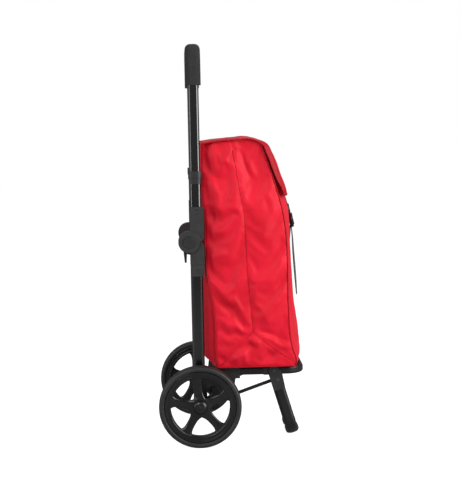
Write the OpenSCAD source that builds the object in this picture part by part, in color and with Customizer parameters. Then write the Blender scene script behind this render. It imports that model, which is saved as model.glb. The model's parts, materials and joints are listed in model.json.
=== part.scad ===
// Two-wheeled shopping trolley: a folding tube frame with a sliding handle and a soft bag.
// X points forward from the tubes to the bag, Y across, Z up. The floor is z = 0, and the
// origin is midway along the whole length. Drawing coordinates start at the axle: see at_axle().

/* [Wheels] */
// Outer radius of a wheel
wheel_r = 105; // [100:1:108]
// Width of a tyre
tyre_w = 34; // [28:1:36]
// Distance between the outer faces of the tyres
track_w = 448; // [444:1:456]
// Number of spokes in a wheel
spoke_count = 5; // [5:1:6]
// Radius of the axle rod
axle_r = 6; // [5:0.5:7]

/* [Frame] */
// Distance from the middle to the centre of each upright
upright_y = 153; // [152:1:155]
// Width of the lower and middle tubes, front to back
tube_w = 29.4; // [29:0.1:30]
// Depth of the lower and middle tubes, across
tube_d = 19.4; // [19:0.1:19.8]
// Height of the fold joint
fold_z = 521; // [519:1:523]
// Height of the top of the handle
handle_top_z = 1023; // [1000:1:1040]
// How far the handle slides down
handle_travel = 80; // [60:1:82]
// Travel of a release button
button_travel = 4; // [2:0.5:5]

/* [Platform and stand] */
// Front end of the platform, from the axle
platform_x = 272; // [262:1:276]
// Height of the platform tubes' centre line
platform_z = 181; // [180:1:182]
// Forward lean of the stand
stand_lean = 16.5; // [15:0.5:18]

/* [Bag] */
// Half the width of the bag
bag_half_w = 165; // [150:1:170]
// Thickness of the bag's walls
bag_wall = 2; // [2:0.5:4]

/* [Hidden] */
$fn = 64;

axle_x = -(platform_x - wheel_r) / 2;
axle_z = wheel_r;
tyre_t = 13;
rim_r = wheel_r - tyre_t;
rim_inner_r = rim_r - 17;
spoke_gap_w = 26;
spoke_angle = 96;
run_gap = 0.05;
soft_gap = 0.4;

// uprights
slide_gap = 0.1;
tube_wall = 1.5;
handle_w = tube_w - 2.4;
handle_d = tube_d - 2.4;
lower_tube_z0 = axle_z + 17;
socket_z0 = 433;
hinge_base_z0 = 463;
middle_tube_z0 = 553;
hinge_top_z1 = 610;
middle_tube_z1 = 674;
collar_z1 = 700;
handle_z0 = 640;
grip_w = 39;
grip_d = 28;
grip_z0 = 917;
handle_bar_z = handle_top_z - grip_d / 2;
handle_bend_r = 45;

// fold joint between the lower and the middle tubes
fold_x = -18.5;
disc_r = 28;
neck_x0 = -16;
neck_x1 = 19.5;
joint_y0 = 140;
joint_mid_y = 153;
joint_y1 = 167;
ring_y1 = 171;
button_r = 15;
button_y1 = 174;
button_len = 10;
pin_r = 5;
screw_r = 4;
screw_z = [445.7, 598];

// platform, stand and braces turn about these points, [x, z] from the axle
platform_pivot = [40, 136];
brace_pivot = [42, 102];
stand_pivot = [193, platform_z];
brace_end = [201.5, 157];
rail_y = 131;
rail_h = 21;
rail_d = 13;
rail_x0 = 48;
rail_bend_r = 42;
arm_y = [123, 139];
plate_y = [139.5, 142];
bracket_y = [142.5, 168];
brace_y = 119;
brace_r = 3.5;
leg_y = 105.5;
leg_w = 30;
leg_d = 17;
leg_bend_r = 35;
leg_len = 176;
stand_pin_r = 4;
pad_t = 2.7;

// bag outline, [x, z] from the axle, and the flap that lies over its top
bag_side = [
    [36, 198], [258, 198], [266, 214], [255, 316], [246, 411], [239, 505], [229, 600],
    [205, 680], [182, 752], [150, 768], [22, 762], [21, 500], [25, 372], [32, 295]
];
bag_inside = [
    [40, 201], [255, 201], [262, 215], [252, 315], [243, 410], [236, 504], [226, 599],
    [202, 679], [179, 750], [178, 900], [24, 900], [24, 500], [28, 372], [35, 296]
];
flap_top = [
    [20, 774], [60, 779], [100, 782], [141, 782], [165, 778], [184, 768], [196, 746],
    [209, 713], [221, 679], [234, 645], [235, 634]
];
flap_t = 5;
flap_half_w = 160;
panel_half_w = 112;
strap_w = 25;

module at_axle() translate([axle_x, 0, 0]) children();
module both_sides() for (side = [-1, 1]) scale_y(side) children();
module scale_y(side) mirror([0, side < 0 ? 1 : 0, 0]) children();

// a solid with the outline [x, z], from y0 to y1
module slab(y0, y1) translate([0, y1, 0]) rotate([90, 0, 0]) linear_extrude(y1 - y0) children();
module rod_y(r, y0, y1, at = [0, 0]) slab(y0, y1) translate(at) circle(r);
module bar_y(r, half, at) rod_y(r, -half, half, at);
module stadium(w, d) {
    square([w - d, d], center = true);
    for (s = [-1, 1]) translate([s * (w - d) / 2, 0]) circle(d / 2);
}
module upright(w, d, z0, z1) translate([0, upright_y, z0]) linear_extrude(z1 - z0) stadium(w, d);
// a tube bent into an arch: two legs, two quarter bends and a top bar
module arch(w, d, z0, top_z, bend) {
    straight = upright_y - bend;
    both_sides() {
        translate([0, upright_y, z0]) linear_extrude(top_z - bend - z0) stadium(w, d);
        translate([0, straight, top_z - bend]) rotate([0, -90, 0])
            rotate_extrude(angle = 90) translate([bend, 0]) stadium_turned(w, d);
    }
    translate([0, straight, top_z]) rotate([90, 0, 0]) linear_extrude(2 * straight) stadium(w, d);
}
module stadium_turned(w, d) rotate(90) stadium(w, d);

module axle() color("silver") at_axle() bar_y(axle_r, 214, [0, axle_z]);
module axle_washers() color("#555558") at_axle() both_sides()
    slab(bracket_y[1], 175) translate([0, axle_z]) difference() {
        circle(12);
        circle(axle_r + run_gap);
    }
module lower_tubes() color("#202022") at_axle() both_sides() difference() {
    upright(tube_w, tube_d, lower_tube_z0, hinge_base_z0);
    translate([0, 0, -1]) upright(tube_w - 2 * tube_wall, tube_d - 2 * tube_wall, lower_tube_z0,
        hinge_base_z0 + 2);
}
module axle_brackets() color("#1a1a1c") at_axle() both_sides() {
    difference() {
        slab(bracket_y[0], bracket_y[1]) {
            translate([-16, 86]) square([35, 114]);
            polygon([[10, 86], [44, 92], [50, 100], [50, 138], [33, 138], [31, 127], [19, 119]]);
            translate(platform_pivot) circle(9);
        }
        upright(tube_w, tube_d, lower_tube_z0, 300);
        rod_y(axle_r, 130, 180, [0, axle_z]);
    }
    rod_y(pin_r, 122.8, bracket_y[0], platform_pivot);
    rod_y(stand_pin_r, brace_y - brace_r - 1, bracket_y[0], brace_pivot);
}

// the outlines of the joint halves' necks, which leave a notch between them at the front
module base_neck() polygon([
    [neck_x0, hinge_base_z0], [neck_x1, hinge_base_z0], [neck_x1, fold_z - 10],
    [12.5, fold_z - 0.6], [neck_x0, fold_z - 0.6]
]);
module top_neck() polygon([
    [neck_x0, hinge_top_z1], [neck_x1, hinge_top_z1], [neck_x1, fold_z + 10],
    [12.5, fold_z + 0.6], [neck_x0, fold_z + 0.6]
]);
module hinge_bases() color("#3a3a3d") at_axle() both_sides() difference() {
    union() {
        slab(joint_y0, joint_mid_y - 0.2) {
            base_neck();
            translate([fold_x, fold_z]) circle(disc_r);
        }
        difference() {
            slab(joint_mid_y - 0.3, joint_y1) base_neck();
            rod_y(disc_r + 0.6, joint_mid_y - 0.4, joint_y1 + 1, [fold_x, fold_z]);
        }
        translate([neck_x0 + 1, joint_y0, socket_z0]) cube([neck_x1 - neck_x0 - 2, 26, 30.1]);
    }
    upright(tube_w, tube_d, socket_z0 - 1, hinge_base_z0);
    rod_y(pin_r, joint_y0 - 1, joint_mid_y + 1, [fold_x, fold_z]);
    rod_y(screw_r + 1, joint_y0 + 24, joint_y1 + 1, [2.7, screw_z[0]]);
}
module base_screws() color("#77777a") at_axle() both_sides() screw_head(joint_y0 + 24, screw_z[0]);
module screw_head(y0, z) difference() {
    rod_y(screw_r, y0, y0 + 1.6, [2.7, z]);
    slab(y0 + 0.6, y0 + 2) translate([2.7, z]) for (a = [0, 90]) rotate(a) square([5, 1], center = true);
}
module hinge_pins() color("silver") at_axle() both_sides()
    rod_y(pin_r, joint_y0 - 2, 158, [fold_x, fold_z]);
module cross_tube() color("#202022") at_axle() bar_y(7, joint_y0, [0, 477]);
module cart_hooks() color("#2a2a2c") at_axle() both_sides() slab(116, 137) difference() {
    union() {
        translate([0, 477]) circle(12);
        polygon([[-34, 497], [0, 497], [9, 485], [-9, 484], [-25, 488], [-26, 466], [-31, 466]]);
    }
    translate([0, 477]) circle(7);
}
module hang_loops() color("#161618") at_axle() for (y = [-60, 60]) slab(y - 12.5, y + 12.5)
    difference() {
        union() {
            translate([0, 477]) circle(9);
            translate([0, 470]) square([9, 14]);
        }
        translate([0, 477]) circle(7);
    }

module hinge_tops() color("#3a3a3d") at_axle() both_sides() difference() {
    union() {
        slab(joint_mid_y + 0.2, joint_y1) {
            top_neck();
            translate([fold_x, fold_z]) circle(disc_r);
        }
        difference() {
            slab(joint_y0, joint_mid_y + 0.3) top_neck();
            rod_y(disc_r + 0.6, joint_y0 - 1, joint_mid_y + 0.4, [fold_x, fold_z]);
        }
        rod_y(disc_r, joint_y1 - 0.1, ring_y1, [fold_x, fold_z]);
    }
    upright(tube_w, tube_d, middle_tube_z0, hinge_top_z1 + 1);
    rod_y(pin_r + run_gap, joint_mid_y - 1, 160, [fold_x, fold_z]);
    rod_y(button_r + run_gap, 159.5, ring_y1 + 1, [fold_x, fold_z]);
    rod_y(screw_r + 1, joint_y1 - 2, joint_y1 + 1, [2.7, screw_z[1]]);
}
module top_screws() color("#77777a") at_axle() both_sides() screw_head(joint_y1 - 2, screw_z[1]);
module middle_tubes() color("#18181a") at_axle() both_sides() difference() {
    upright(tube_w, tube_d, middle_tube_z0, middle_tube_z1);
    translate([0, 0, -1])
        upright(handle_w + 2 * slide_gap, handle_d + 2 * slide_gap, middle_tube_z0, middle_tube_z1 + 2);
}
module collars() color("#2c2c2f") at_axle() both_sides() difference() {
    union() {
        upright(tube_w + 2.6, tube_d + 4, middle_tube_z1 - 6, middle_tube_z1 + 8);
        upright(tube_w + 5.1, tube_d + 6, middle_tube_z1 + 7.9, collar_z1);
    }
    upright(tube_w, tube_d, middle_tube_z1 - 7, middle_tube_z1);
    upright(handle_w + 2 * slide_gap, handle_d + 2 * slide_gap, middle_tube_z1 - 1, collar_z1 + 1);
}
module handle_tube() color("#0c0c0e") at_axle() difference() {
    arch(handle_w, handle_d, handle_z0, handle_bar_z, handle_bend_r);
    arch(handle_w - 2 * tube_wall, handle_d - 2 * tube_wall, handle_z0 - 1, handle_bar_z, handle_bend_r);
}
module foam_grip() color("#2f2f31") at_axle() difference() {
    arch(grip_w, grip_d, grip_z0, handle_bar_z, handle_bend_r);
    arch(handle_w, handle_d, grip_z0 - 1, handle_bar_z, handle_bend_r);
}
module button() color("#2a2a2c") at_axle()
    rod_y(button_r, button_y1 - button_len, button_y1, [fold_x, fold_z]);
module button_left() button();
module button_right() scale_y(-1) button();

// a rail bent into a loop that is open at the back
module loop(h, d, x0) {
    bend_x = platform_x - rail_d / 2 - rail_bend_r;
    both_sides() {
        translate([x0, rail_y, platform_z]) rotate([0, 90, 0]) linear_extrude(bend_x - x0) stadium(h, d);
        translate([bend_x, rail_y - rail_bend_r, platform_z])
            rotate_extrude(angle = 90) translate([rail_bend_r, 0]) stadium_turned(h, d);
    }
    translate([bend_x + rail_bend_r, rail_y - rail_bend_r, platform_z]) rotate([90, 0, 0])
        linear_extrude(2 * (rail_y - rail_bend_r)) stadium_turned(h, d);
}
module platform_loop() color("#1c1c1e") at_axle() difference() {
    loop(rail_h, rail_d, rail_x0);
    loop(rail_h - 2 * tube_wall, rail_d - 2 * tube_wall, rail_x0 - 1);
    bar_y(stand_pin_r + run_gap, 200, stand_pivot);
}
module platform_bars() color("#1c1c1e") at_axle() {
    for (x = [70, 226]) bar_y(5, rail_y - rail_d / 2, [x, platform_z]);
    for (y = [-75, -25, 25, 75]) translate([70, y, platform_z + 7]) rotate([0, 90, 0])
        cylinder(r = 2.5, h = 156);
}
module platform_arms() color("#141416") at_axle() both_sides() difference() {
    slab(arm_y[0], arm_y[1]) {
        translate(platform_pivot) circle(14);
        polygon([[44, 122.6], [86, 146], [94, 163], [105, 163], [105, 196], [44, 196], [30, 170], [26, 136]]);
    }
    translate([rail_x0, rail_y, platform_z]) rotate([0, 90, 0]) linear_extrude(100)
        stadium(rail_h, rail_d);
    rod_y(pin_r + run_gap, 100, 150, platform_pivot);
    bar_y(5, 130, [70, platform_z]);
}
module platform_collars() color("#141416") at_axle() both_sides() translate([166, rail_y, platform_z])
    rotate([0, 90, 0]) linear_extrude(13) difference() {
        stadium(rail_h + 3, rail_d + 1.6);
        stadium(rail_h, rail_d);
    }

// the stand is drawn upright about its own pivot and then leaned forward
module at_stand() at_axle() translate([stand_pivot[0], 0, stand_pivot[1]])
    rotate([0, -stand_lean, 0]) children();
module housing_outline() {
    circle(14);
    polygon([[-13, 2], [-16, -16], [-16, -48], [-13, -51], [12, -51], [15, -48], [18, -14], [13.5, 2]]);
}
module stand_arch(w, d, top) {
    corner = leg_y - leg_bend_r;
    both_sides() {
        translate([0, leg_y, leg_bend_r - leg_len]) linear_extrude(leg_len - leg_bend_r + top)
            stadium(w, d);
        translate([0, corner, leg_bend_r - leg_len]) rotate([0, 90, 0])
            rotate_extrude(angle = 90) translate([leg_bend_r, 0]) stadium_turned(w, d);
    }
    translate([0, corner, -leg_len]) rotate([90, 0, 0]) linear_extrude(2 * corner) stadium(w, d);
}
module stand_tube() color("#1b1b1d") at_stand() difference() {
    stand_arch(leg_w, leg_d, 9);
    stand_arch(leg_w - 2 * tube_wall, leg_d - 2 * tube_wall, 10);
    bar_y(stand_pin_r, 200, [0, 0]);
}
module stand_housings() color("#222224") at_stand() both_sides() difference() {
    union() {
        slab(plate_y[0], plate_y[1]) housing_outline();
        slab(leg_y - leg_d / 2 - 2, leg_y + leg_d / 2 + 0.9) housing_outline();
    }
    translate([0, leg_y, -60]) linear_extrude(69) stadium(leg_w, leg_d);
    bar_y(stand_pin_r, 200, [0, 0]);
}
module stand_pins() color("#8a8a8c") at_stand() both_sides() {
    rod_y(stand_pin_r, leg_y - leg_d / 2 - 2.5, plate_y[1] - 0.2, [0, 0]);
    rod_y(4.5, plate_y[1], plate_y[1] + 0.4, [brace_end[0] - stand_pivot[0] - 6.6, -25.4]);
}
module stand_pads() color("#111112") difference() {
    at_stand() both_sides() translate([0, 66, -leg_len]) rotate([90, 0, 0]) linear_extrude(34)
        stadium(leg_w + 2 * pad_t, leg_d + 2 * pad_t);
    at_stand() translate([0, 120, -leg_len]) rotate([90, 0, 0]) linear_extrude(240)
        stadium(leg_w, leg_d);
    translate([0, -100, -20]) cube([300, 200, 20]);
}
module brace_rods() color("#1a1a1c") at_axle() both_sides() difference() {
    step = brace_end - brace_pivot;
    span = norm(step);
    union() {
        for (end = [brace_pivot, brace_end]) rod_y(7.5, brace_y - brace_r, brace_y + brace_r, end);
        translate([brace_pivot[0], brace_y, brace_pivot[1]])
            rotate([0, 90 - atan2(step[1], step[0]), 0]) translate([0, 0, 4])
            cylinder(r = brace_r + 1, h = span - 8);
    }
    for (end = [brace_pivot, brace_end])
        rod_y(stand_pin_r + run_gap, brace_y - 9, brace_y + 9, end);
    for (y = [brace_y + brace_r, brace_y - brace_r - 5]) translate([0, y, 0]) cube([300, 5, 300]);
}

// a wheel stands at the left side; the right one mirrors it. Its local z runs inwards from the
// outer face of the tyre
module at_wheel(side) scale_y(side) at_axle() translate([0, track_w / 2, axle_z])
    rotate([90, 0, 0]) children();
module tyre(side) color("#1d1d1f") at_wheel(side) rotate_extrude($fn = 96) {
    translate([rim_r, 4]) square([tyre_t - 4, tyre_w - 8]);
    translate([rim_r + 2, 0]) square([tyre_t - 7, tyre_w]);
    translate([rim_r + 4, 5]) square([tyre_t - 4, tyre_w - 10]);
    for (z = [5, tyre_w - 5]) translate([wheel_r - 5, z]) circle(5);
}
// one opening between two spokes, with rounded corners
module spoke_gap() offset(r = 6, $fn = 32) offset(delta = -6) polygon([
    [28, 0], [34, 7], [60, spoke_gap_w], [rim_inner_r * cos(27), rim_inner_r * sin(27)],
    [rim_inner_r * cos(14), rim_inner_r * sin(14)], [rim_inner_r, 0],
    [rim_inner_r * cos(14), -rim_inner_r * sin(14)],
    [rim_inner_r * cos(27), -rim_inner_r * sin(27)], [60, -spoke_gap_w], [34, -7]
]);
module rim(side) color("#2b2b2e") at_wheel(side) difference() {
    union() {
        translate([0, 0, 3]) linear_extrude(tyre_w - 6) difference() {
            circle(rim_r);
            circle(rim_inner_r);
        }
        translate([0, 0, 6]) linear_extrude(13) difference() {
            circle(rim_inner_r + 5);
            for (i = [0:spoke_count - 1]) rotate(spoke_angle + (i + 0.5) * 360 / spoke_count) spoke_gap();
        }
        translate([0, 0, 8]) cylinder(r = 19, h = 40);
    }
    translate([0, 0, -1]) cylinder(r = axle_r + run_gap, h = 60);
}
module hub_cap(side) color("#38383b") at_wheel(side) difference() {
    translate([0, 0, -2.5]) cylinder(r = 18, h = 10.5);
    translate([0, 0, 1]) cylinder(r = axle_r + 2, h = 8);
}
module tyre_left() tyre(1);
module tyre_right() tyre(-1);
module rim_left() rim(1);
module rim_right() rim(-1);
module hub_cap_left() hub_cap(1);
module hub_cap_right() hub_cap(-1);

module bag_body() color("#d01e34") at_axle() difference() {
    slab(-bag_half_w, bag_half_w) polygon(bag_side);
    slab(-bag_half_w + bag_wall, bag_half_w - bag_wall) polygon(bag_inside);
}
module base_board() color("#3a3a3c") at_axle() translate([46, -150, 204.6]) cube([200, 300, 3]);
module rear_panel() color("#9c1022") at_axle() slab(-panel_half_w, panel_half_w) polygon([
    [14, 232], [9, 300], [8.5, 690], [13, 716], [20.6, 722], [20.6, 500], [24.6, 372], [31.6, 295],
    [34, 232]
]);
module buckle_socket() color("#101012") at_axle() translate([245.5, -17, 545]) cube([9, 34, 36]);
module lower_strap() color("#141416") at_axle()
    slab(-strap_w / 2, strap_w / 2) polygon([[239.6, 500], [247, 544.6], [249.5, 544.6], [242.1, 500]]);
module strap_tail() color("#141416") at_axle()
    slab(-strap_w / 2, strap_w / 2) polygon([[250.5, 544.6], [252.9, 544.6], [269, 362], [266.6, 362]]);

module flap() color("#d82038") at_axle() {
    slab(-flap_half_w, flap_half_w) polygon(concat(flap_top, [for (i = [len(flap_top) - 1:-1:0])
        flap_top[i] - flap_t * (i < 6 ? [0.2, 1] : [1, 0.25])]));
    bar_y(2.5, flap_half_w, flap_top[0]);
}
module flap_strap() color("#141416") at_axle()
    slab(-strap_w / 2, strap_w / 2) polygon([[230.8, 633.2], [233.2, 633.2], [248.6, 603.6], [246.2, 603.6]]);
module buckle_clip() color("#101012") at_axle() translate([243.5, -16, 581.4]) cube([8, 32, 22]);

axle();
axle_washers();
lower_tubes();
axle_brackets();
hinge_bases();
base_screws();
hinge_pins();
cross_tube();
cart_hooks();
hang_loops();
hinge_tops();
top_screws();
middle_tubes();
collars();
handle_tube();
foam_grip();
button_left();
button_right();
platform_loop();
platform_bars();
platform_arms();
platform_collars();
stand_tube();
stand_housings();
stand_pins();
stand_pads();
brace_rods();
tyre_left();
rim_left();
hub_cap_left();
tyre_right();
rim_right();
hub_cap_right();
bag_body();
base_board();
rear_panel();
buckle_socket();
lower_strap();
strap_tail();
flap();
flap_strap();
buckle_clip();
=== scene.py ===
"""The looks of a folding shopping trolley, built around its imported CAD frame. Lengths are in metres."""

import json
import math

import bmesh
import bpy
import numpy as np
from mathutils import Matrix, Vector, noise


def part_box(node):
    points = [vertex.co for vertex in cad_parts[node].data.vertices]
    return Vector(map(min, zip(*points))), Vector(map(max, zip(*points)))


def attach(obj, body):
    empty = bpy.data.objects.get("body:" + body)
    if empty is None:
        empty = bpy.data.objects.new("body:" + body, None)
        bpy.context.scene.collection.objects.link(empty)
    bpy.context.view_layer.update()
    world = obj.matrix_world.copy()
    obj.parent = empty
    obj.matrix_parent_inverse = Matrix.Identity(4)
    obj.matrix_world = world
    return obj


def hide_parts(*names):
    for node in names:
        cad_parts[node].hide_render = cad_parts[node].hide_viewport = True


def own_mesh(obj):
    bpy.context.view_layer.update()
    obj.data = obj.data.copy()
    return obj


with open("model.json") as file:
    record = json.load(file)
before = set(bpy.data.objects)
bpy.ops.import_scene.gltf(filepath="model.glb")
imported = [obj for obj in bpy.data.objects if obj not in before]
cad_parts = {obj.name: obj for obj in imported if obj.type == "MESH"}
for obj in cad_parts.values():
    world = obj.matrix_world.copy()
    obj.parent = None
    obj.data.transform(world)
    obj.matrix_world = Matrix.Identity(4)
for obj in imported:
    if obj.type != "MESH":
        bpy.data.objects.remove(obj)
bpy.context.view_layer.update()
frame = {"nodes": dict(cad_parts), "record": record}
nodes = frame["nodes"]


def middle(node):
    low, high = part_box(node)
    return (low + high) / 2


# Places are given from the axle: x forward, y across, z up from the floor.
AXLE = middle("axle")


# ---------------------------------------------------------------- materials


def socket(shader, name, value):
    shader.inputs[name].default_value = value


class Recipe:
    """A small helper that adds nodes to one material."""

    def __init__(self, name):
        self.material = bpy.data.materials.new(name)
        self.material.use_nodes = True
        self.tree = self.material.node_tree
        self.shader = self.tree.nodes["Principled BSDF"]
        self.place = self.add("ShaderNodeTexCoord").outputs["Object"]
        self.normal = None

    def add(self, kind, **values):
        made = self.tree.nodes.new(kind)
        for key, value in values.items():
            if key in made.inputs:
                made.inputs[key].default_value = value
            else:
                setattr(made, key, value)
        return made

    def link(self, a, b):
        self.tree.links.new(a, b)

    def noise(self, scale, detail=3.0, stretch=(1, 1, 1), roughness=0.5):
        mapped = self.add("ShaderNodeMapping")
        mapped.inputs["Scale"].default_value = stretch
        self.link(self.place, mapped.inputs["Vector"])
        made = self.add("ShaderNodeTexNoise", Scale=scale, Detail=detail, Roughness=roughness)
        self.link(mapped.outputs["Vector"], made.inputs["Vector"])
        return made.outputs["Fac"]

    def wave(self, scale, axis, distortion=0.0):
        made = self.add("ShaderNodeTexWave", Scale=scale, Distortion=distortion)
        made.bands_direction = axis
        self.link(self.place, made.inputs["Vector"])
        return made.outputs["Fac"]

    def ramp(self, source, dark, light, low=0.3, high=0.7):
        made = self.add("ShaderNodeValToRGB")
        made.color_ramp.elements[0].position = low
        made.color_ramp.elements[1].position = high
        made.color_ramp.elements[0].color = (*dark, 1)
        made.color_ramp.elements[1].color = (*light, 1)
        self.link(source, made.inputs["Fac"])
        return made.outputs["Color"]

    def color(self, source, dark, light, low=0.3, high=0.7):
        self.link(self.ramp(source, dark, light, low, high), self.shader.inputs["Base Color"])

    def rough(self, source, low, high):
        made = self.add("ShaderNodeMapRange")
        made.inputs["To Min"].default_value = low
        made.inputs["To Max"].default_value = high
        self.link(source, made.inputs["Value"])
        self.link(made.outputs["Result"], self.shader.inputs["Roughness"])

    def bevel(self, radius):
        made = self.add("ShaderNodeBevel", Radius=radius)
        made.samples = 4
        self.normal = made.outputs["Normal"]
        self.link(self.normal, self.shader.inputs["Normal"])

    def bump(self, source, strength, distance):
        made = self.add("ShaderNodeBump", Strength=strength, Distance=distance)
        self.link(source, made.inputs["Height"])
        if self.normal is not None:
            self.link(self.normal, made.inputs["Normal"])
        self.normal = made.outputs["Normal"]
        self.link(self.normal, self.shader.inputs["Normal"])


def fabric(name, dark, light, roughness=0.5, sheen=0.03):
    """Coated nylon: fine plain weave, faint cloudy tone and a soft sheen."""
    made = Recipe(name)
    made.color(made.noise(14, 4), dark, light)
    made.rough(made.noise(40, 2), roughness - 0.06, roughness + 0.08)
    socket(made.shader, "Sheen Weight", sheen)
    socket(made.shader, "Sheen Roughness", 0.4)
    socket(made.shader, "Specular IOR Level", 0.2)
    made.bump(made.noise(30, 4, (1, 1, 0.7)), 0.14, 0.004)
    weave = made.add("ShaderNodeMath", operation="MULTIPLY")
    made.link(made.wave(420, "Z"), weave.inputs[0])
    made.link(made.wave(420, "DIAGONAL"), weave.inputs[1])
    made.bump(weave.outputs[0], 0.12, 0.0004)
    return made.material


def moulded(name, dark, light, roughness=0.5, grain=900, bump=0.15, edge=0.0012):
    """Moulded plastic: fine grained skin with softened edges."""
    made = Recipe(name)
    made.color(made.noise(30, 3), dark, light)
    made.rough(made.noise(60, 3), roughness - 0.07, roughness + 0.09)
    made.bevel(edge)
    made.bump(made.noise(grain, 2), bump, 0.0003)
    return made.material


def coated(name, dark, light, roughness, coat=0.0, grain=700, bump=0.05):
    """Powder-coated or lacquered metal tube."""
    made = Recipe(name)
    made.color(made.noise(20, 3, (1, 1, 0.3)), dark, light)
    made.rough(made.noise(90, 3, (1, 1, 0.2)), roughness - 0.04, roughness + 0.06)
    socket(made.shader, "Metallic", 0.25)
    socket(made.shader, "Coat Weight", coat)
    socket(made.shader, "Coat Roughness", 0.12)
    made.bevel(0.0008)
    made.bump(made.noise(grain, 2), bump, 0.0004)
    return made.material


def foam():
    made = Recipe("foam_look")
    made.color(made.noise(500, 3), (0.016, 0.016, 0.017), (0.036, 0.036, 0.037))
    socket(made.shader, "Roughness", 0.85)
    socket(made.shader, "Specular IOR Level", 0.25)
    made.bevel(0.004)
    cells = made.add("ShaderNodeTexVoronoi", Scale=620.0)
    made.link(made.place, cells.inputs["Vector"])
    made.bump(cells.outputs["Distance"], 0.5, 0.0008)
    return made.material


def steel(name, tone, roughness):
    made = Recipe(name)
    made.color(made.noise(60, 3, (1, 0.1, 1)), tuple(tone * 0.8 for _ in range(3)), (tone, tone, tone))
    made.rough(made.noise(200, 3, (1, 0.05, 1)), roughness, roughness + 0.15)
    socket(made.shader, "Metallic", 1.0)
    made.bevel(0.0006)
    return made.material


def webbing():
    """Woven strap: ribs across and a lengthwise twill."""
    made = Recipe("webbing_look")
    made.color(made.noise(80, 3), (0.006, 0.006, 0.0065), (0.013, 0.013, 0.014))
    socket(made.shader, "Roughness", 0.7)
    socket(made.shader, "Sheen Weight", 0.3)
    made.bump(made.wave(180, "Z"), 0.6, 0.0008)
    made.bump(made.wave(260, "Y"), 0.4, 0.0005)
    return made.material


LOOKS = {
    "red_fabric": fabric("red_nylon", (0.64, 0.0045, 0.020), (0.76, 0.0070, 0.029)),
    # dark_red_fabric: the darker red of the piping, flap binding and seams; also laid over the flap's
    # turned-down sides as painted shade
    "dark_red_fabric": fabric("trim_red_and_hem_shade", (0.38, 0.002, 0.011), (0.46, 0.003, 0.014)),
    "lining": fabric("lining_look", (0.30, 0.004, 0.012), (0.38, 0.006, 0.018), 0.7, 0.05),
    "webbing": webbing(),
    "foam": foam(),
    "tyre": moulded("tyre_look", (0.010, 0.010, 0.0105), (0.018, 0.018, 0.0185), 0.5, 500, 0.2, 0.002),
    "rubber": moulded("pad_look", (0.008, 0.008, 0.008), (0.014, 0.014, 0.015), 0.75, 700, 0.3),
    "wheel_plastic": moulded("wheel_look", (0.003, 0.003, 0.0034), (0.0055, 0.0055, 0.006), 0.24, 800, 0.08,
                             0.001),
    "joint_plastic": moulded("joint_look", (0.019, 0.019, 0.020), (0.027, 0.027, 0.028), 0.45),
    "black_plastic": moulded("black_moulded", (0.010, 0.010, 0.0105), (0.018, 0.018, 0.019), 0.45),
    "buckle_plastic": moulded("buckle_look", (0.007, 0.007, 0.008), (0.014, 0.014, 0.015), 0.35),
    "board": moulded("board_look", (0.03, 0.03, 0.032), (0.05, 0.05, 0.052), 0.7),
    "lower_metal": coated("lower_coat", (0.0045, 0.0045, 0.005), (0.0075, 0.0075, 0.008), 0.22, 0.5),
    "upper_metal": coated("upper_gloss", (0.004, 0.004, 0.0045), (0.007, 0.007, 0.0075), 0.13, 1.0, 300, 0.01),
    "stand_metal": coated("stand_coat", (0.007, 0.007, 0.0075), (0.013, 0.013, 0.014), 0.4, 0.0, 1100, 0.3),
    "steel": steel("bright_steel", 0.6, 0.25),
    "screw": steel("dull_zinc", 0.10, 0.45),
}


def dress_frame():
    """Gives every CAD piece the look of its material slot."""
    slots = {s["node"]: s["material_slot"] for s in frame["record"]["subparts"]}
    for name, piece in nodes.items():
        piece.data.materials.clear()
        piece.data.materials.append(LOOKS.get(slots[name], LOOKS["red_fabric"]))


# ---------------------------------------------------------------- mesh helpers


def add_mesh(name, points, faces, look):
    """A smooth-shaded mesh object with its faces turned outwards."""
    data = bpy.data.meshes.new(name)
    data.from_pydata([tuple(p) for p in points], [], faces)
    data.materials.append(LOOKS[look])
    data.polygons.foreach_set("use_smooth", [True] * len(data.polygons))
    piece = bpy.data.objects.new(name, data)
    bpy.context.scene.collection.objects.link(piece)
    tidy = bmesh.new()
    tidy.from_mesh(data)
    bmesh.ops.recalc_face_normals(tidy, faces=tidy.faces)
    tidy.to_mesh(data)
    tidy.free()
    return piece


def grid_faces(rows, columns, closed=False):
    across = columns if closed else columns - 1
    return [
        (r * columns + c, r * columns + (c + 1) % columns, (r + 1) * columns + (c + 1) % columns,
         (r + 1) * columns + c)
        for r in range(rows - 1) for c in range(across)
    ]


def apply_modifier(piece, kind, **values):
    modifier = piece.modifiers.new(kind.lower(), kind)
    for key, value in values.items():
        setattr(modifier, key, value)
    bpy.context.view_layer.objects.active = piece
    with bpy.context.temp_override(object=piece, active_object=piece):
        bpy.ops.object.modifier_apply(modifier=modifier.name)


def sweep(name, path, radius, look, sides=8, closed=False):
    """A round cord or bead along a path of points."""
    path = [Vector(p) for p in path]
    count = len(path)
    points, up = [], None
    for i, at in enumerate(path):
        before = path[(i - 1) % count] if closed or i else at
        after = path[(i + 1) % count] if closed or i < count - 1 else at
        along = (after - before).normalized()
        if up is None:
            up = along.orthogonal().normalized()
        up = (up - along * up.dot(along)).normalized()
        side = along.cross(up)
        for s in range(sides):
            turn = 2 * math.pi * s / sides
            points.append(at + radius * (math.cos(turn) * up + math.sin(turn) * side))
    faces = grid_faces(count, sides, True)
    if closed:
        last = (count - 1) * sides
        faces += [(last + s, last + (s + 1) % sides, (s + 1) % sides, s) for s in range(sides)]
    else:
        faces += [tuple(range(sides)), tuple((count - 1) * sides + s for s in range(sides))]
    return add_mesh(name, points, faces, look)


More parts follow.
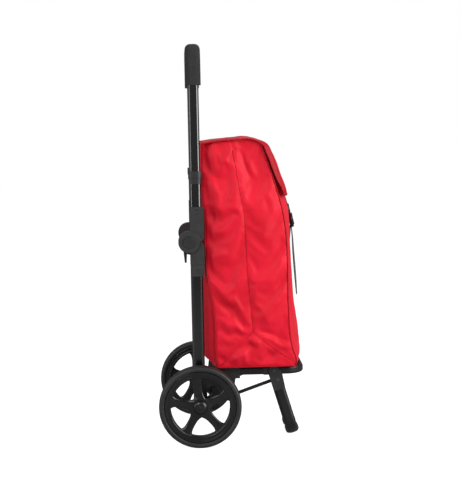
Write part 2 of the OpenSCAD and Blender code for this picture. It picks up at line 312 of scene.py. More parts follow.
def lathe(name, profile, centre, look, side=1, steps=96):
    """A turned shape about an axis along y; the profile is [radius, depth inwards]."""
    points = []
    for radius, depth in profile:
        for s in range(steps):
            turn = 2 * math.pi * s / steps
            points.append((centre[0] + radius * math.cos(turn), centre[1] - side * depth,
                           centre[2] + radius * math.sin(turn)))
    faces = grid_faces(len(profile), steps, True)
    if profile[0][0] < 1e-4:
        faces = faces[steps:]
        faces.append(tuple(steps + s for s in range(steps)))
        points[:steps] = [points[0]] * steps
    return add_mesh(name, points, faces, look)


def join(name, parts):
    """One piece from several, all with the first one's material."""
    made = bmesh.new()
    for part in parts:
        made.from_mesh(part.data)
    data = bpy.data.meshes.new(name)
    made.to_mesh(data)
    made.free()
    data.materials.append(parts[0].data.materials[0])
    for part in parts:
        bpy.data.objects.remove(part)
    piece = bpy.data.objects.new(name, data)
    bpy.context.scene.collection.objects.link(piece)
    return piece


def rounded_box(name, low, high, radius, look, segments=3):
    """A box with rounded edges between two corners."""
    made = bmesh.new()
    bmesh.ops.create_cube(made, size=1.0)
    size = Vector(high) - Vector(low)
    for v in made.verts:
        v.co = Vector((v.co.x * size.x, v.co.y * size.y, v.co.z * size.z)) + (Vector(high) + Vector(low)) / 2
    bmesh.ops.bevel(made, geom=made.edges[:], offset=radius, segments=segments, affect="EDGES")
    data = bpy.data.meshes.new(name)
    for face in made.faces:
        face.smooth = True
    made.to_mesh(data)
    made.free()
    data.materials.append(LOOKS[look])
    piece = bpy.data.objects.new(name, data)
    bpy.context.scene.collection.objects.link(piece)
    return piece


def curve_at(knots, t):
    """Smooth value at t of a curve through [position, value] knots."""
    xs = [k[0] for k in knots]
    ys = [k[1] for k in knots]
    t = min(max(t, xs[0]), xs[-1])
    i = max(1, next(j for j in range(1, len(xs)) if t <= xs[j]))
    slopes = np.gradient(ys, xs)
    span = xs[i] - xs[i - 1]
    u = (t - xs[i - 1]) / span
    return ((2 * u**3 - 3 * u**2 + 1) * ys[i - 1] + (u**3 - 2 * u**2 + u) * span * slopes[i - 1]
            + (-2 * u**3 + 3 * u**2) * ys[i] + (u**3 - u**2) * span * slopes[i])


def ramp01(value, low, high):
    u = min(max((value - low) / (high - low), 0.0), 1.0)
    return u * u * (3 - 2 * u)


# ---------------------------------------------------------------- the bag

BAG_Z0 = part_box("bag_body")[0].z - 0.002
# [height, distance from the axle] of the rear and front corners, and how far the front swells
REAR_EDGE = [(0.19, 0.047), (0.25, 0.0435), (0.29, 0.0438), (0.33, 0.0415), (0.38, 0.035), (0.43, 0.0262),
             (0.50, 0.0220), (0.60, 0.0215), (0.63, 0.0190), (0.80, 0.0185)]
FRONT_EDGE = [(0.19, 0.244), (0.203, 0.2515), (0.215, 0.250), (0.245, 0.240), (0.275, 0.2355), (0.32, 0.233),
              (0.40, 0.231), (0.48, 0.2315), (0.54, 0.2285), (0.59, 0.222), (0.65, 0.2065), (0.70, 0.192),
              (0.747, 0.176), (0.79, 0.160)]
FRONT_SWELL = [(0.19, 0.002), (0.21, 0.015), (0.24, 0.027), (0.28, 0.030), (0.32, 0.027), (0.37, 0.023),
               (0.43, 0.020), (0.50, 0.016), (0.56, 0.018), (0.62, 0.022), (0.67, 0.018), (0.72, 0.010),
               (0.78, 0.004)]
# [height, distance from the axle] of the rear panel where it bulges between the tubes
REAR_FACE = [(0.19, 0.040), (0.203, 0.032), (0.212, 0.0225), (0.228, 0.0155), (0.27, 0.0115), (0.30, 0.0105),
             (0.69, 0.0100), (0.716, 0.0135), (0.77, 0.0185), (0.80, 0.0185)]
# [share of the depth, height] of the rim, under the flap
RIM = [(0.0, 0.768), (0.25, 0.7745), (0.6, 0.779), (0.82, 0.7785), (1.0, 0.769)]
# share of the depth of a side panel's upright seam, and the height where it forks
SEAM = 0.5
SEAM_FORK_Z = 0.288
HALF_W = 0.161
SIDE_DEPTH = 0.21
FRONT_WIDTH = 0.32
OUTWARD = (Vector((0, -1, 0)), Vector((1, 0, 0)), Vector((0, 1, 0)), Vector((-1, 0, 0)))


def side_line(share, rise):
    """Place in the side view of a point at a share of the depth and of the height."""
    top = curve_at(RIM, share)
    z = BAG_Z0 + rise * (top - BAG_Z0)
    back, front = curve_at(REAR_EDGE, z), curve_at(FRONT_EDGE, z)
    return back + share * (front - back), z


def crown(t, power=4):
    """0 at the edges of a panel, 1 over its middle."""
    return 1 - abs(2 * t - 1) ** power


def bag_point(panel, t, rise):
    """A point of the bag: panel 0 near side, 1 front, 2 far side, 3 rear; t runs along the panel."""
    height_crown = math.sin(math.pi * min(max(rise, 0), 1)) ** 0.5
    if panel in (0, 2):
        share = t if panel == 0 else 1 - t
        x, z = side_line(share, rise)
        tilt = 0.008 * ramp01(rise, 0.75, 1.0)
        tuck = 0.012 * (1 - ramp01(share, 0.0, 0.22)) * ramp01(z, 0.36, 0.50)
        y = HALF_W - tilt - tuck + 0.011 * crown(share, 2.5) * height_crown
        return Vector((AXLE.x + x, -y if panel == 0 else y, z))
    across = t if panel == 1 else 1 - t
    x, z = side_line(1.0 if panel == 1 else 0.0, rise)
    tilt = 0.008 * ramp01(rise, 0.75, 1.0)
    y = (2 * across - 1) * (HALF_W - tilt - (0.012 * ramp01(z, 0.36, 0.50) if panel == 3 else 0.0))
    if panel == 1:
        x += curve_at(FRONT_SWELL, z) * crown(across, 3)
    else:
        between = ramp01(0.137 - abs(y), 0.0, 0.024)
        x -= (curve_at(REAR_EDGE, z) - curve_at(REAR_FACE, z)) * between
    return Vector((AXLE.x + x, y, z))


SIDE_STEPS, FACE_STEPS, RISE_STEPS = 36, 52, 92


def bag_columns():
    columns = []
    for panel, steps in ((0, SIDE_STEPS), (1, FACE_STEPS), (2, SIDE_STEPS), (3, FACE_STEPS)):
        columns += [(panel, i / steps) for i in range(steps)]
    return columns


def fork_distance(share, z):
    """Distance from the seam lines of a side panel: one upright that forks towards the corners."""
    upright = abs(share - SEAM) * SIDE_DEPTH
    if z >= SEAM_FORK_Z:
        return upright
    fall = (SEAM_FORK_Z - z) / (SEAM_FORK_Z - BAG_Z0 - 0.004)
    rear, front = SEAM - fall * (SEAM - 0.05), SEAM + fall * (0.99 - SEAM)
    return min(abs(share - rear), abs(share - front)) * SIDE_DEPTH * 0.75


# Folds of a side panel: two ends as [share of the depth, height], half width, and how far it stands out
FOLDS = [
    ((0.02, 0.725), (0.34, 0.668), 0.016, -0.0050), ((0.03, 0.752), (0.42, 0.715), 0.014, 0.0035),
    ((0.13, 0.690), (0.20, 0.610), 0.009, 0.0040), ((0.05, 0.660), (0.10, 0.575), 0.010, -0.0045),
    ((0.02, 0.612), (0.42, 0.600), 0.010, 0.0030), ((0.02, 0.578), (0.36, 0.586), 0.012, -0.0040),
    ((0.08, 0.535), (0.34, 0.572), 0.009, 0.0035), ((0.06, 0.505), (0.30, 0.545), 0.009, -0.0030),
    ((0.02, 0.470), (0.30, 0.492), 0.010, 0.0030), ((0.03, 0.440), (0.40, 0.465), 0.014, -0.0030),
    ((0.04, 0.425), (0.47, 0.318), 0.013, 0.0050), ((0.03, 0.385), (0.45, 0.300), 0.015, -0.0060),
    ((0.08, 0.315), (0.44, 0.290), 0.008, 0.0032), ((0.06, 0.290), (0.40, 0.272), 0.008, -0.0040),
    ((0.53, 0.302), (0.95, 0.392), 0.011, 0.0045), ((0.55, 0.330), (0.95, 0.425), 0.013, -0.0040),
    ((0.53, 0.372), (0.92, 0.470), 0.014, 0.0035), ((0.56, 0.420), (0.90, 0.505), 0.014, -0.0028),
    ((0.58, 0.284), (0.97, 0.262), 0.008, -0.0042), ((0.60, 0.268), (0.92, 0.250), 0.006, 0.0030),
    ((0.36, 0.262), (0.62, 0.268), 0.008, 0.0036), ((0.30, 0.246), (0.52, 0.252), 0.007, -0.0036),
    ((0.18, 0.222), (0.40, 0.236), 0.008, 0.0038), ((0.55, 0.215), (0.86, 0.235), 0.009, -0.0050),
    ((0.62, 0.247), (0.80, 0.222), 0.007, 0.0040), ((0.03, 0.232), (0.12, 0.206), 0.007, -0.0045),
    ((0.62, 0.745), (0.70, 0.690), 0.008, -0.0034), ((0.72, 0.735), (0.80, 0.668), 0.009, 0.0032),
    ((0.34, 0.748), (0.40, 0.700), 0.007, 0.0028), ((0.80, 0.640), (0.90, 0.520), 0.012, -0.0026),
]


def fold_height(share, z, mirrored):
    """Sum of the folds at a place of a side panel; the far side's are shifted and weaker."""
    total = 0.0
    for (s0, z0), (s1, z1), half, rise in FOLDS:
        if mirrored:
            z0, z1, rise = z0 - 0.03, z1 + 0.012, -0.8 * rise
        ax, az = s0 * SIDE_DEPTH, z0
        bx, bz = s1 * SIDE_DEPTH, z1
        px, pz = share * SIDE_DEPTH, z
        along = max(0.0, min(1.0, ((px - ax) * (bx - ax) + (pz - az) * (bz - az))
                             / ((bx - ax) ** 2 + (bz - az) ** 2)))
        gap = math.hypot(px - ax - along * (bx - ax), pz - az - along * (bz - az))
        if gap < 3 * half:
            total += rise * math.exp(-((gap / half) ** 2)) * (0.55 + 0.45 * math.sin(math.pi * along))
    return total


def soft_folds(panel, t, point):
    """How far a point of the bag stands out or in, from slack and creases."""
    share = t if panel in (0, 1) else 1 - t
    big = noise.noise(Vector((share * 3.1 + panel * 9, 0.4 * panel, point.z * 6.5)))
    slant = noise.noise(Vector((share * 6 + point.z * 9, panel * 5.0, point.z * 13 - share * 4)))
    crease = 1 - abs(noise.noise(Vector((share * 5 - point.z * 7, panel * 3.0 + 2, point.z * 12)))) * 2
    fine = noise.noise(Vector((share * 16, panel * 7.0, point.z * 40)))
    low = 1 + 0.8 * (1 - ramp01(point.z, 0.22, 0.40)) + 0.4 * ramp01(point.z, 0.62, 0.74)
    push = (0.0032 * big + 0.0014 * slant + 0.0011 * max(crease, 0) ** 3 + 0.0003 * fine) * low
    if panel in (0, 2):
        bent = 0.012 * slant
        push += 1.35 * fold_height(share + bent * 2, point.z + bent, panel == 2)
    return push


def build_bag():
    columns = bag_columns()
    points, pinned = [], []
    rises = [r / (RISE_STEPS - 1) for r in range(RISE_STEPS)]
    for rise in rises:
        for panel, t in columns:
            at = bag_point(panel, t, rise)
            share = t if panel in (0, 1) else 1 - t
            edge = min(t, 1 - t) * (SIDE_DEPTH if panel in (0, 2) else FRONT_WIDTH)
            hold = min(1.0, edge / 0.02) * ramp01(rise, 0.0, 0.03) * (1 - 0.8 * ramp01(rise, 0.93, 1.0))
            push = soft_folds(panel, t, at) * hold
            firm = 1.0 if edge < 0.003 or rise in (rises[0], rises[-1]) else 0.0
            if panel in (0, 2):
                apart = fork_distance(share, at.z)
                push *= 0.12 + 0.88 * ramp01(apart, 0.0, 0.016)
                push -= 0.0020 * math.exp(-((apart / 0.004) ** 2))
                if apart < 0.0035:
                    firm = 1.0
            if panel == 3:
                push *= 0.5
                if abs(at.y) > 0.12:
                    push, firm = 0.0, 1.0
            points.append(at + OUTWARD[panel] * push)
            pinned.append(firm)
    columns_count = len(columns)
    faces = grid_faces(RISE_STEPS, columns_count, True)
    piece = add_mesh("bag_shell", points, faces, "red_fabric")
    middle_face = (RISE_STEPS // 2) * columns_count + SIDE_STEPS + FACE_STEPS // 2
    if piece.data.polygons[middle_face].normal.x < 0:
        piece.data.flip_normals()
    return piece, pinned, columns_count


CLOTH_FRAMES = 22
FURTHEST = 0.011


def simulate_bag(piece, pinned):
    """Lets the panels crumple between their seams, which stay where they are sewn."""
    start = np.array([v.co for v in piece.data.vertices])
    group = piece.vertex_groups.new(name="sewn")
    for index, weight in enumerate(pinned):
        if weight:
            group.add([index], weight, "REPLACE")
    cloth = piece.modifiers.new("cloth", "CLOTH")
    settings = cloth.settings
    settings.vertex_group_mass = "sewn"
    settings.quality = 6
    settings.mass = 0.25
    settings.tension_stiffness = settings.compression_stiffness = 12
    settings.shear_stiffness = 6
    settings.bending_stiffness = 2.5
    settings.shrink_min = -0.014
    settings.use_pressure = True
    settings.uniform_pressure_force = 1.2
    settings.effector_weights.gravity = 0.35
    cloth.collision_settings.use_collision = False
    cloth.point_cache.frame_end = CLOTH_FRAMES
    scene = bpy.context.scene
    for number in range(1, CLOTH_FRAMES + 1):
        scene.frame_set(number)
    result = piece.evaluated_get(bpy.context.evaluated_depsgraph_get())
    moved = np.array([v.co for v in result.data.vertices])
    piece.modifiers.remove(cloth)
    step = moved - start
    length = np.linalg.norm(step, axis=1, keepdims=True)
    step *= np.minimum(1, FURTHEST / np.maximum(length, 1e-9))
    final = start + step
    # the front stays flat, and the rear corners stay clear of the tubes
    front = start[:, 0] > np.array([AXLE.x + curve_at(FRONT_EDGE, z) - 0.002 for z in start[:, 2]])
    final[front, 0] = np.clip(final[front, 0], start[front, 0] - 0.001, start[front, 0] + 0.004)
    tubes = (np.abs(final[:, 1]) > 0.12) & (final[:, 0] < AXLE.x + 0.05)
    final[tubes, 0] = np.maximum(final[tubes, 0], start[tubes, 0] - 0.001)
    for vertex, at in zip(piece.data.vertices, final):
        vertex.co = at
    scene.frame_set(1)


def close_bag(piece, columns_count):
    """Adds the floor of the bag and the hem that turns in at the rim."""
    shell = bmesh.new()
    shell.from_mesh(piece.data)
    shell.verts.ensure_lookup_table()
    base = [shell.verts[i] for i in range(columns_count)]
    rim = [shell.verts[(RISE_STEPS - 1) * columns_count + i] for i in range(columns_count)]
    centre = Vector((sum(v.co.x for v in base) / columns_count, 0, 0))

    def ring(source, scale, drop):
        made = []
        for v in source:
            flat = Vector((v.co.x - centre.x, v.co.y, 0)) * scale
            made.append(shell.verts.new((centre.x + flat.x, flat.y, v.co.z + drop)))
        for i in range(columns_count):
            j = (i + 1) % columns_count
            shell.faces.new((source[i], source[j], made[j], made[i]))
        return made

    inner = base
    for scale, drop in ((0.985, -0.0015), (0.95, -0.0005), (0.6, 0.0), (0.6, 0.0), (0.5, 0.0)):
        inner = ring(inner, scale, drop)
    shell.faces.new(inner)
    inner = rim
    for scale, drop in ((0.992, 0.0015), (0.985, -0.001), (0.985, -0.012), (1.0, -0.02)):
        inner = ring(inner, scale, drop)
    bmesh.ops.recalc_face_normals(shell, faces=shell.faces)
    for face in shell.faces:
        face.smooth = True
    shell.to_mesh(piece.data)
    shell.free()
    apply_modifier(piece, "SUBSURF", levels=1)
    apply_modifier(piece, "SOLIDIFY", thickness=0.0012, offset=-1.0)


def on_bag(panel, t, rise, out=0.0):
    """A point of the bag's sewn shape, set off outwards."""
    return bag_point(panel, t, rise) + OUTWARD[panel] * out


def bag_trim():
    """Piping down the corners and round the foot, and the sewn lines on the sides."""
    rises = [i / 60 for i in range(61)]
    parts = []
    for panel in (0, 2):
        for end in (0, 1):
            t = end if panel == 0 else 1 - end
            parts.append(sweep("edge", [on_bag(panel, t, r, 0.0004) for r in rises], 0.0015,
                               "dark_red_fabric"))
    ring = [on_bag(p, t, 0.0, 0.0006) for p, t in bag_columns()[::3]]
    parts.append(sweep("edge", ring, 0.0016, "dark_red_fabric", closed=True))
    piping = join("bag_piping", parts)
    threads = []
    for panel in (0, 2):
        def at(share, z):
            t = share if panel == 0 else 1 - share
            top = curve_at(RIM, share)
            return on_bag(panel, t, (z - BAG_Z0) / (top - BAG_Z0), -0.0011)
        upright = [at(SEAM, SEAM_FORK_Z + (0.752 - SEAM_FORK_Z) * i / 50) for i in range(51)]
        threads.append(sweep("seam", upright, 0.0008, "dark_red_fabric", 6))
        for end in (0.05, 0.99):
            fork = [at(SEAM + (end - SEAM) * i / 24, SEAM_FORK_Z - (SEAM_FORK_Z - BAG_Z0 - 0.005) * i / 24)
                    for i in range(25)]
            threads.append(sweep("seam", fork, 0.0008, "dark_red_fabric", 6))
    return piping, join("bag_seams", threads)


def crumple(piece):
    """Gives a piece its own copy of its mesh data."""
    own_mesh(piece)


def make_bag():
    shell, pinned, columns_count = build_bag()
    simulate_bag(shell, pinned)
    close_bag(shell, columns_count)
    piping, seams = bag_trim()
    low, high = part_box("base_board")
    board = rounded_box("base_panel", low, high, 0.001, "board")
    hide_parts("bag_body", "rear_panel")
    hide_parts("base_board")
    for piece in (shell, piping, seams, board):
        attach(piece, "frame")
        crumple(piece)


# ---------------------------------------------------------------- the flap

FLAP_LINE = [(0.0170, 0.7722), (0.060, 0.7785), (0.100, 0.781), (0.141, 0.782), (0.163, 0.7775),
             (0.183, 0.767), (0.195, 0.744), (0.2063, 0.713), (0.2180, 0.679), (0.2296, 0.645),
             (0.2310, 0.634)]
FLAP_HALF_W = 0.163
FLAP_ROWS, FLAP_COLUMNS = 74, 60


def flap_line(share):
    """Place in the side view of a point at a share of the flap's length."""
    lengths = [0.0]
    for a, b in zip(FLAP_LINE, FLAP_LINE[1:]):
        lengths.append(lengths[-1] + math.dist(a, b))
    along = share * lengths[-1]
    return (curve_at([(s, p[0]) for s, p in zip(lengths, FLAP_LINE)], along),
            curve_at([(s, p[1]) for s, p in zip(lengths, FLAP_LINE)], along))


def flap_point(share, across):
    """across runs from -1 to 1; the sides turn down over the bag."""
    x, z = flap_line(share)
    ahead, behind = flap_line(min(share + 0.01, 1)), flap_line(max(share - 0.01, 0))
    tangent = Vector((ahead[0] - behind[0], 0, ahead[1] - behind[1])).normalized()
    inward = Vector((tangent.z, 0, -tangent.x))
    width = FLAP_HALF_W - 0.014 * ramp01(share, 0.95, 1.0) ** 2
    turned = ramp01(abs(across), 0.90, 1.0)
    skirt = 0.0025 + 0.0090 * ramp01(share, 0.38, 0.62) - 0.0055 * ramp01(share, 0.78, 1.0)
    swell = 0.008 * ramp01(share, 0.45, 0.75) * (1 - abs(across) ** 3)
    sag = 0.0024 * noise.noise(Vector((share * 5, across * 2.4, 1.3)))
    sag += 0.0014 * noise.noise(Vector((share * 13, across * 6, 4.1)))
    y = across * width * (1 - 0.006 * turned)
    depth = skirt * turned * turned + sag * (1 - turned) - swell
    return Vector((AXLE.x + x, y, z)) + inward * depth


def flap_joint():
    """The strip of cloth that the flap is sewn to, from the rear rim up to the line it turns on."""
    lines = [(0.0172, 0.752), (0.0190, 0.762), (0.0203, 0.769), (0.0208, 0.7742)]
    points = [(AXLE.x + x, 0.1465 * (2 * c / 40 - 1), z) for x, z in lines for c in range(41)]
    strip = add_mesh("flap_joint", points, grid_faces(len(lines), 41), "red_fabric")
    apply_modifier(strip, "SOLIDIFY", thickness=0.0014, offset=0.0)
    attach(strip, "frame")
    crumple(strip)


def make_flap():
    flap_joint()
    points = [flap_point(r / (FLAP_ROWS - 1), 2 * c / (FLAP_COLUMNS - 1) - 1)
              for r in range(FLAP_ROWS) for c in range(FLAP_COLUMNS)]
    cover = add_mesh("flap_cover", points, grid_faces(FLAP_ROWS, FLAP_COLUMNS), "red_fabric")
    apply_modifier(cover, "SOLIDIFY", thickness=0.0016, offset=-1.0)
    apply_modifier(cover, "SUBSURF", levels=1)
    edge = [flap_point(i / 60, -1) for i in range(61)]
    edge += [flap_point(1, -1 + 2 * i / 40) for i in range(1, 40)]
    edge += [flap_point(1 - i / 60, 1) for i in range(61)]
    binding = sweep("flap_binding", edge, 0.0016, "dark_red_fabric", 8)
    # Darker red bands laid over the flap's turned-down sides: painted shade for the skirt under the flap's
    # edge
    shade_bands = []
    for side in (-1, 1):
        band = [flap_point(r / 70, side * (0.90 + 0.10 * c / 5)) + Vector((0, side * 0.0007, 0.0002))
                for r in range(71) for c in range(6)]
        shade_bands.append(add_mesh("band", band, grid_faces(71, 6), "dark_red_fabric"))
    hem = join("flap_hem_shade", shade_bands)
    apply_modifier(hem, "SOLIDIFY", thickness=0.0010, offset=0.0)
    for piece, look in ((cover, "red_fabric"), (binding, "dark_red_fabric"), (hem, "dark_red_fabric")):
        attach(piece, "flap")
        crumple(piece)
    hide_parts("flap")


# ---------------------------------------------------------------- straps and buckle

STRAP_W = 0.025


def strap_centre(line, steps=40):
    """The centreline of a strap along [x, z] points."""
    knots_x = [(i / (len(line) - 1), p[0]) for i, p in enumerate(line)]
    knots_z = [(i / (len(line) - 1), p[1]) for i, p in enumerate(line)]
    shares = [i / steps for i in range(steps + 1)]
    return [(AXLE.x + curve_at(knots_x, t), 0, curve_at(knots_z, t)) for t in shares]


def strap(name, line, thickness=0.0016, body="frame", twist=0.0):
    """A flat web strap along [x, z] points, with soft edges."""
    centre = strap_centre(line)
    points = []
    for i, (x, _, z) in enumerate(centre):
        t = i / (len(centre) - 1)
        sway = 0.0012 * math.sin(5 * t + len(name))
        for c in range(7):
            out = (c / 6 - 0.5) * STRAP_W
            turn = twist * math.sin(math.pi * t * 0.8)
            cup = 0.0007 * (2 * c / 6 - 1) ** 2 + out * math.sin(turn)
            points.append((x + cup, out * math.cos(turn) + sway * t, z))
    made = add_mesh(name, points, grid_faces(len(centre), 7), "webbing")
    apply_modifier(made, "SOLIDIFY", thickness=thickness, offset=0.0)
    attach(made, body)
    crumple(made)
    return made


def lean_about(piece, centre, angle):
    """Leans a finished piece about a line across the trolley."""
    turn = Matrix.Translation(centre) @ Matrix.Rotation(angle, 4, "Y") @ Matrix.Translation(-centre)
    piece.data.transform(turn)


def make_straps():
    upper = strap("flap_web", [(0.2330, 0.652), (0.2345, 0.636), (0.2395, 0.618), (0.2450, 0.600)],
                  body="flap")
    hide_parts("flap_strap")
    lower = strap("lower_web", [(0.2470, 0.500), (0.2485, 0.515), (0.2500, 0.530), (0.2515, 0.547)])
    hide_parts("lower_strap")
    hanging = [(0.2530, 0.556), (0.2560, 0.520), (0.2585, 0.470), (0.2625, 0.410), (0.2655, 0.362)]
    tail = strap("loose_web", hanging, thickness=0.0020, twist=0.22)
    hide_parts("strap_tail")
    centre = strap_centre(hanging)
    lean = math.radians(-12)
    low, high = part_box("buckle_socket")
    centre = (low + high) / 2
    body = rounded_box("buckle_socket_shell", low + Vector((-0.001, 0.001, -0.001)),
                       high + Vector((0.001, 0, 0.002)), 0.0042, "buckle_plastic", 4)
    bar = rounded_box("bar", (low.x + 0.001, low.y + 0.003, low.z - 0.003),
                      (high.x - 0.001, high.y - 0.003, low.z + 0.004), 0.0015, "buckle_plastic")
    arms = [rounded_box("arm", (low.x + 0.0015, side * 0.0165 - 0.0022, centre.z - 0.009),
                        (high.x - 0.0015, side * 0.0165 + 0.0022, centre.z + 0.011), 0.0018,
                        "buckle_plastic") for side in (-1, 1)]
    clasp = join("buckle_socket_shape", [body, bar, *arms])
    hang = Vector((centre.x, 0, high.z))
    lean_about(clasp, hang, lean)
    low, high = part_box("buckle_clip")
    top = (low + high) / 2
    plate = rounded_box("plate", low + Vector((-0.0005, 0, -0.003)), high + Vector((0.001, 0, 0.004)), 0.0034,
                        "buckle_plastic", 4)
    ribs = [rounded_box("rib", (high.x - 0.001, low.y + 0.004, top.z + dz - 0.001),
                        (high.x + 0.0012, high.y - 0.004, top.z + dz + 0.001), 0.0006, "buckle_plastic")
            for dz in (-0.004, 0.0, 0.004)]
    clip = join("buckle_clip_shape", [plate, *ribs])
    lean_about(clip, hang, lean)
    for piece, node, body_name in ((clasp, "buckle_socket", "frame"), (clip, "buckle_clip", "flap")):
        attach(piece, body_name)
        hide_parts(node)
        crumple(piece)


# ---------------------------------------------------------------- wheels

SPOKES = 5
SPOKE_ANGLE = math.radians(96)
# [radius, half width, depth of the outer face, depth of the inner face] along a spoke
SPOKE = [(0.012, 0.0190, 0.0060, 0.0200), (0.020, 0.0170, 0.0065, 0.0200), (0.027, 0.0135, 0.0085, 0.0195),
         (0.036, 0.0112, 0.0095, 0.0190), (0.048, 0.0106, 0.0090, 0.0190), (0.060, 0.0112, 0.0075, 0.0190),
         (0.068, 0.0132, 0.0062, 0.0190), (0.0745, 0.0182, 0.0052, 0.0190), (0.079, 0.0210, 0.0045, 0.0190)]


def spoke_mesh(name, at, side, turn):
    """One spoke: crowned across, waisted at its middle and flared into the hub and the rim."""
    ring = 24
    points = []
    knots = [[(k[0], k[i]) for k in SPOKE] for i in (1, 2, 3)]
    steps = 22
    for r in range(steps + 1):
        radius = SPOKE[0][0] + (SPOKE[-1][0] - SPOKE[0][0]) * r / steps
        half, front, back = (curve_at(knot, radius) for knot in knots)
        mid, tall = (front + back) / 2, (back - front) / 2
        for k in range(ring):
            a = 2 * math.pi * k / ring
            across = half * math.copysign(abs(math.cos(a)) ** 0.55, math.cos(a))
            depth = mid - tall * math.copysign(abs(math.sin(a)) ** 0.65, math.sin(a))
            reach = math.sqrt(max(radius ** 2 - (0.35 * across) ** 2, 0.0))
            points.append((at[0] + reach * math.cos(turn) - across * math.sin(turn), at[1] - side * depth,
                           at[2] + reach * math.sin(turn) + across * math.cos(turn)))
    faces = grid_faces(steps + 1, ring, True)
    faces += [tuple(range(ring)), tuple(steps * ring + k for k in range(ring))]
    return add_mesh(name, points, faces, "wheel_plastic")


def make_rim(name, side, at, outer, width):
    """The moulded wheel inside a tyre: a flanged ring, five spokes and a hub barrel."""
    lip = outer - 0.013
    profile = [
        (lip - 0.017, 0.0062), (lip - 0.0162, 0.0046), (lip - 0.0148, 0.0036), (lip - 0.012, 0.0034),
        (lip - 0.0105, 0.0042), (lip - 0.0085, 0.0044), (lip - 0.0065, 0.0040), (lip - 0.005, 0.0032),
        (lip - 0.0015, 0.0030), (lip, 0.0042)
    ]
    whole = profile + [(r, width - d) for r, d in reversed(profile)]
    whole.append(whole[0])
    parts = [lathe("ring", whole, at, "wheel_plastic", side)]
    barrel = [(0.0062, 0.0080), (0.0185, 0.0080), (0.0205, 0.0084), (0.0235, 0.0098), (0.0250, 0.0120),
              (0.0250, 0.0165), (0.0235, 0.0185), (0.0205, 0.0196), (0.0190, 0.0205), (0.0190, 0.0465),
              (0.0180, 0.0480), (0.0062, 0.0480), (0.0062, 0.0080)]
    parts.append(lathe("barrel", barrel, at, "wheel_plastic", side, 64))
    parts += [spoke_mesh("spoke", at, side, SPOKE_ANGLE + i * 2 * math.pi / SPOKES) for i in range(SPOKES)]
    rim = join("rim_shape_" + name, parts)
    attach(rim, name + "_wheel")
    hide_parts("rim_" + name)


def make_wheels():
    for name, side in (("left", 1), ("right", -1)):
        low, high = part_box("tyre_" + name)
        centre = (low + high) / 2
        face = high.y if side > 0 else low.y
        outer = (high.z - low.z) / 2
        width = high.y - low.y
        at = (centre.x, face, centre.z)
        shoulder = [
            (outer - 0.013, 0.004), (outer - 0.0125, 0.0012), (outer - 0.011, 0.0004), (outer - 0.0065, 0.0),
            (outer - 0.0048, 0.0004), (outer - 0.003, 0.0016), (outer - 0.0012, 0.004), (outer - 0.0003, 0.007)
        ]
        tread = [(outer, 0.010), (outer, width / 2 - 0.002), (outer - 0.0008, width / 2 - 0.0006)]
        half = shoulder + tread
        whole = half + [(r, width - d) for r, d in reversed(half)]
        whole.append(whole[0])
        tyre = lathe("tyre_shape_" + name, whole, at, "tyre", side)
        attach(tyre, name + "_wheel")
        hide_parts("tyre_" + name)
        make_rim(name, side, at, outer, width)
        dome = [(0.0, -0.0025), (0.003, -0.0024), (0.0036, -0.0018), (0.005, -0.0023), (0.010, -0.0018),
                (0.0145, 0.0), (0.0175, 0.003), (0.018, 0.006), (0.018, 0.0075), (0.0195, 0.0078),
                (0.0205, 0.0085), (0.0205, 0.0105)]
        cap = lathe("hub_dome_" + name, dome, at, "wheel_plastic", side, 64)
        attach(cap, name + "_wheel")
        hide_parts("hub_cap_" + name)


# ---------------------------------------------------------------- studio


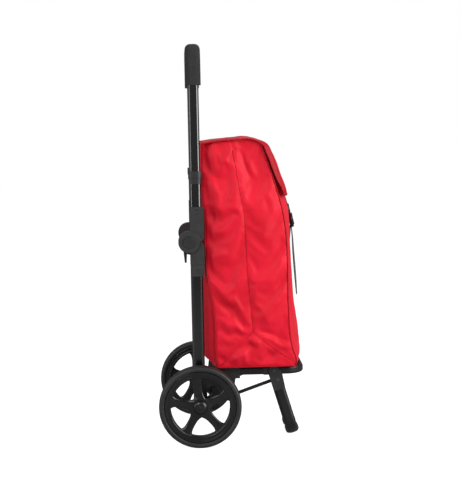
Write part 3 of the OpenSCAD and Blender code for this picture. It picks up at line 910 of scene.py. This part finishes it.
def make_studio():
    """A white room that lights the trolley less than it shows, and four soft boxes."""
    scene = bpy.context.scene
    world = bpy.data.worlds.new("studio")
    world.use_nodes = True
    tree = world.node_tree
    ray = tree.nodes.new("ShaderNodeLightPath")
    level = tree.nodes.new("ShaderNodeMapRange")
    level.inputs["To Min"].default_value = 0.24
    level.inputs["To Max"].default_value = 1.0
    tree.links.new(ray.outputs["Is Camera Ray"], level.inputs["Value"])
    tree.links.new(level.outputs["Result"], tree.nodes["Background"].inputs["Strength"])
    tree.nodes["Background"].inputs["Color"].default_value = (1, 1, 1, 1)
    scene.world = world
    scene.view_settings.view_transform = "Standard"
    floor = add_mesh("floor", [(-9, -9, 0), (9, -9, 0), (9, 14, 0), (-9, 14, 0)], [(0, 1, 2, 3)], "board")
    pale = Recipe("floor_look")
    pale.color(pale.noise(0.6, 2), (0.40, 0.40, 0.40), (0.44, 0.44, 0.44))
    socket(pale.shader, "Roughness", 0.9)
    socket(pale.shader, "Specular IOR Level", 0.1)
    socket(pale.shader, "Emission Color", (1, 1, 1, 1))
    seen = pale.add("ShaderNodeLightPath")
    glow = pale.add("ShaderNodeMath", operation="MULTIPLY")
    glow.inputs[1].default_value = 0.92
    pale.link(seen.outputs["Is Camera Ray"], glow.inputs[0])
    pale.link(glow.outputs[0], pale.shader.inputs["Emission Strength"])
    floor.data.materials[0] = pale.material
    for name, place, size, power in (
        ("key", (2.5, -1.7, 1.5), (2.0, 2.4), 104),
        ("fill", (-1.3, -2.9, 2.2), (1.0, 1.8), 37),
        ("side", (-2.6, -0.9, 1.3), (0.6, 2.2), 26),
        ("top", (0.4, 1.2, 3.0), (2.0, 1.5), 16),
    ):
        light = bpy.data.lights.new(name, "AREA")
        light.shape = "RECTANGLE"
        light.size, light.size_y = size
        light.energy = power
        lamp = bpy.data.objects.new(name, light)
        lamp.location = place
        aim = Vector((0, 0, 0.55)) - Vector(place)
        lamp.rotation_euler = aim.to_track_quat("-Z", "Y").to_euler()
        scene.collection.objects.link(lamp)


def make_camera():
    """A long lens beside the trolley, a little behind the axle and just above the bag."""
    yaw, pitch, roll = math.radians(1.967), math.radians(5.161), math.radians(-1.146)
    ahead = Vector((math.sin(yaw) * math.cos(pitch), math.cos(yaw) * math.cos(pitch), -math.sin(pitch)))
    right = Vector((math.cos(yaw), -math.sin(yaw), 0))
    up = right.cross(ahead)
    rolled_right = math.cos(roll) * right + math.sin(roll) * up
    rolled_up = -math.sin(roll) * right + math.cos(roll) * up
    camera = bpy.data.cameras.new("camera")
    camera.sensor_width = 36
    camera.lens = 102.3
    camera.clip_end = 50
    eye = bpy.data.objects.new("camera", camera)
    turn = Matrix((rolled_right, rolled_up, -ahead)).transposed().to_4x4()
    eye.matrix_world = Matrix.Translation((AXLE.x - 0.039, -3.7627, 0.8239)) @ turn
    bpy.context.scene.collection.objects.link(eye)
    bpy.context.scene.camera = eye


make_camera()
make_studio()
dress_frame()
make_bag()
make_flap()
make_straps()
make_wheels()
